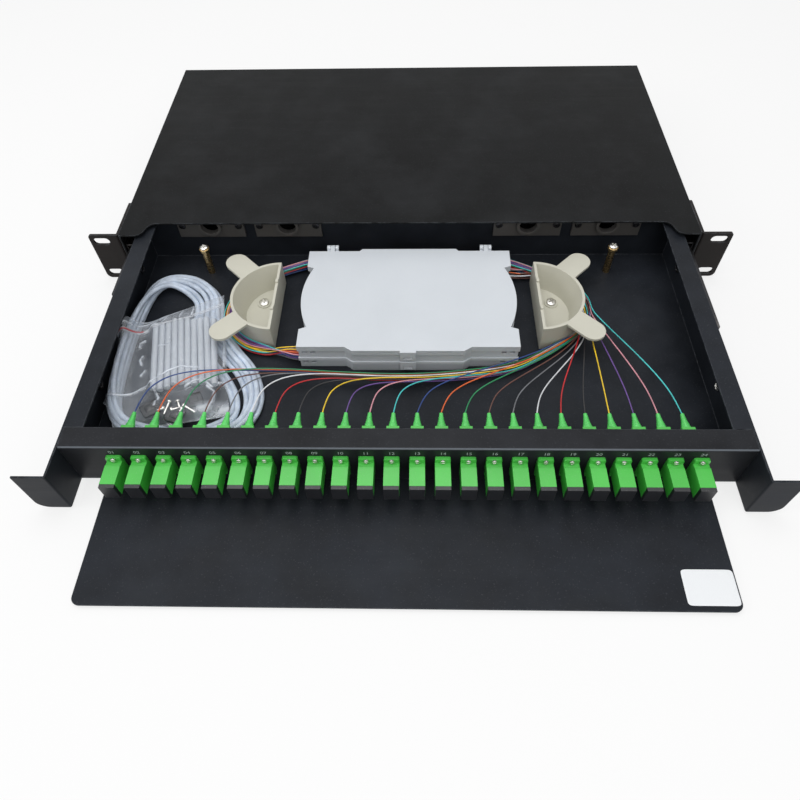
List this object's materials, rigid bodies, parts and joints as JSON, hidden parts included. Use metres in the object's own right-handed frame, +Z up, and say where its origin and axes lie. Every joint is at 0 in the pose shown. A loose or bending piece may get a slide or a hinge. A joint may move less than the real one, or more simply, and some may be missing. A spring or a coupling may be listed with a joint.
{
  "type": "fibre distribution panel",
  "caption": "Sliding rack-mount fibre distribution panel with adapters, pigtails, spools and splice trays.",
  "frame": {"origin": "middle of the four rack slots, on the front face of the rack ears", "axes": "+X to the right as seen from the front, +Y to the rear, +Z up"},
  "size_m": [0.4826, 0.5022, 0.0436],
  "materials": {
    "black_powder_coat": "fine textured powder coat",
    "zinc_steel": "zinc plated",
    "black_screw": "black zinc",
    "bright_screw": "nickel plated",
    "green_plastic": "moulded",
    "cap_plastic": "moulded",
    "beige_plastic": "moulded",
    "tray_plastic": "moulded",
    "gland_plastic": "moulded",
    "brass": "turned",
    "fibre_jacket": "tight buffer, twelve colours in turn",
    "clear_tube": "clear",
    "clear_film": "clear film"
  },
  "bodies": {
    "housing": {"housing_tray": "black_powder_coat", "housing_cover": "black_powder_coat", "cover_screws": "black_screw", "rack_ear_left": "black_powder_coat", "rack_ear_right": "black_powder_coat", "ear_screws": "black_screw", "slide_outer_left": "zinc_steel", "slide_outer_right": "zinc_steel", "slide_rivets": "zinc_steel"},
    "drawer": {"accessory_bag": "clear_film", "adapter_panel": "black_powder_coat", "adapter_screws": "bright_screw", "cable_posts": "brass", "connector_boots": "green_plastic", "drawer_tray": "black_powder_coat", "dust_caps": "cap_plastic", "fibre_winding": "fibre_jacket", "gland_plates": "gland_plastic", "gland_screws": "bright_screw", "pigtail_01": "fibre_jacket", "pigtail_02": "fibre_jacket", "pigtail_03": "fibre_jacket", "pigtail_04": "fibre_jacket", "pigtail_05": "fibre_jacket", "pigtail_06": "fibre_jacket", "pigtail_07": "fibre_jacket", "pigtail_08": "fibre_jacket", "pigtail_09": "fibre_jacket", "pigtail_10": "fibre_jacket", "pigtail_11": "fibre_jacket", "pigtail_12": "fibre_jacket", "pigtail_13": "fibre_jacket", "pigtail_14": "fibre_jacket", "pigtail_15": "fibre_jacket", "pigtail_16": "fibre_jacket", "pigtail_17": "fibre_jacket", "pigtail_18": "fibre_jacket", "pigtail_19": "fibre_jacket", "pigtail_20": "fibre_jacket", "pigtail_21": "fibre_jacket", "pigtail_22": "fibre_jacket", "pigtail_23": "fibre_jacket", "pigtail_24": "fibre_jacket", "post_screws": "bright_screw", "sc_adapters": "green_plastic", "sc_connectors": "green_plastic", "slide_inner_left": "zinc_steel", "slide_inner_right": "zinc_steel", "slide_screws": "bright_screw", "spare_screws": "black_screw", "splice_sleeves": "clear_tube", "splice_tray_lower": "tray_plastic", "splice_tray_upper": "tray_plastic", "spool_left": "beige_plastic", "spool_right": "beige_plastic", "spool_screws": "bright_screw", "tray_cover": "tray_plastic", "tubing_coil": "clear_tube"},
    "slide_left": {"slide_middle_left": "zinc_steel"},
    "slide_right": {"slide_middle_right": "zinc_steel"}
  },
  "joints": [
    {"name": "drawer_slide", "type": "slide", "parent": "housing", "child": "drawer", "axis": [0, 1, 0], "range_m": [0, 0.2]},
    {"name": "slide_left_travel", "type": "slide", "parent": "housing", "child": "slide_left", "axis": [0, 1, 0], "range_m": [0, 0.05]},
    {"name": "slide_right_travel", "type": "slide", "parent": "housing", "child": "slide_right", "axis": [0, 1, 0], "range_m": [0, 0.0815]}
  ],
  "couplings": [
    {"joint": "slide_left_travel", "follows": "drawer_slide", "ratio": 0.25},
    {"joint": "slide_right_travel", "follows": "drawer_slide", "ratio": 0.4075}
  ]
}
